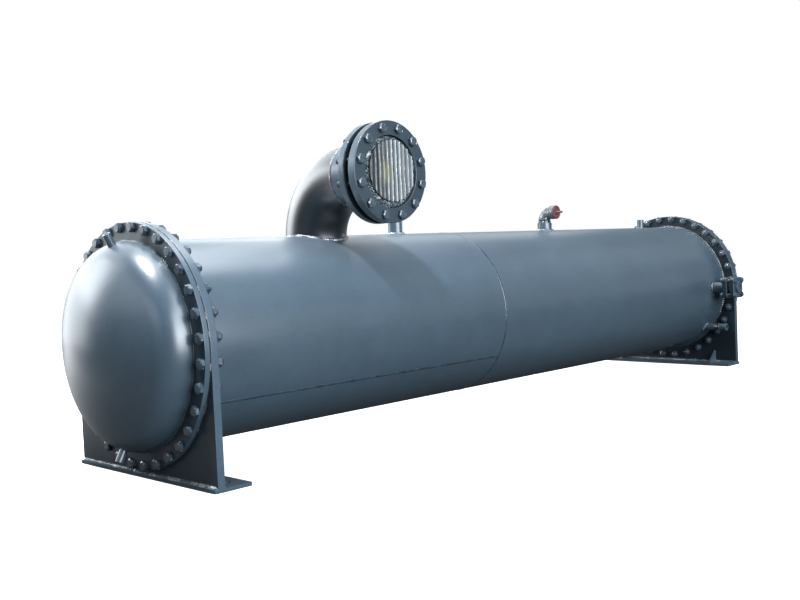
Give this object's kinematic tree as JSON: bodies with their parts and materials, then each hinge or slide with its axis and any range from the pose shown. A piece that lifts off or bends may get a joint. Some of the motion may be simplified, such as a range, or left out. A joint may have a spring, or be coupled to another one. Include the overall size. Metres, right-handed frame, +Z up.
{
  "type": "shell and tube heat exchanger",
  "caption": "Horizontal shell and tube heat exchanger: welded shell between footed tube plates, bolted dished heads, elbowed flanged nozzle on the crown, threaded vents and drains.",
  "frame": {"origin": "on the floor, at the middle of the four anchor holes, under the shell's axis", "axes": "+X along the shell from the near head to the far head, +Z up, the nozzle faces -Y"},
  "size_m": [3.6544, 0.842, 1.1],
  "materials": {
    "blue_grey_enamel": "semi-gloss enamel, dusty and chipped at welds",
    "gasket": "matt compressed sheet",
    "cover_sheet": "silvery pleated sheet",
    "zinc_fitting": "zinc plated",
    "red_plug": "moulded"
  },
  "bodies": {
    "root": {"near_foot_plate": "blue_grey_enamel", "far_foot_plate": "blue_grey_enamel", "near_gussets": "blue_grey_enamel", "far_gussets": "blue_grey_enamel", "near_tube_plate": "blue_grey_enamel", "far_tube_plate": "blue_grey_enamel", "near_gasket": "gasket", "far_gasket": "gasket", "near_head_flange": "blue_grey_enamel", "far_head_flange": "blue_grey_enamel", "near_dished_head": "blue_grey_enamel", "far_dished_head": "blue_grey_enamel", "near_head_vent": "blue_grey_enamel", "far_head_vent": "blue_grey_enamel", "near_head_drain": "blue_grey_enamel", "far_head_drain": "blue_grey_enamel", "shell_near_course": "blue_grey_enamel", "shell_far_course": "blue_grey_enamel", "nozzle_elbow": "blue_grey_enamel", "nozzle_neck": "blue_grey_enamel", "nozzle_flange": "blue_grey_enamel", "nozzle_gasket": "gasket", "nozzle_cover_ring": "blue_grey_enamel", "nozzle_cover_sheet": "cover_sheet", "crown_socket": "blue_grey_enamel", "relief_socket": "blue_grey_enamel", "relief_elbow": "zinc_fitting", "relief_plug": "red_plug", "vent_nipple": "blue_grey_enamel", "outlet_stub": "blue_grey_enamel", "outlet_inner_flange": "blue_grey_enamel", "outlet_gasket": "gasket", "outlet_blank": "blue_grey_enamel", "drain_socket": "blue_grey_enamel"}
  },
  "joints": []
}
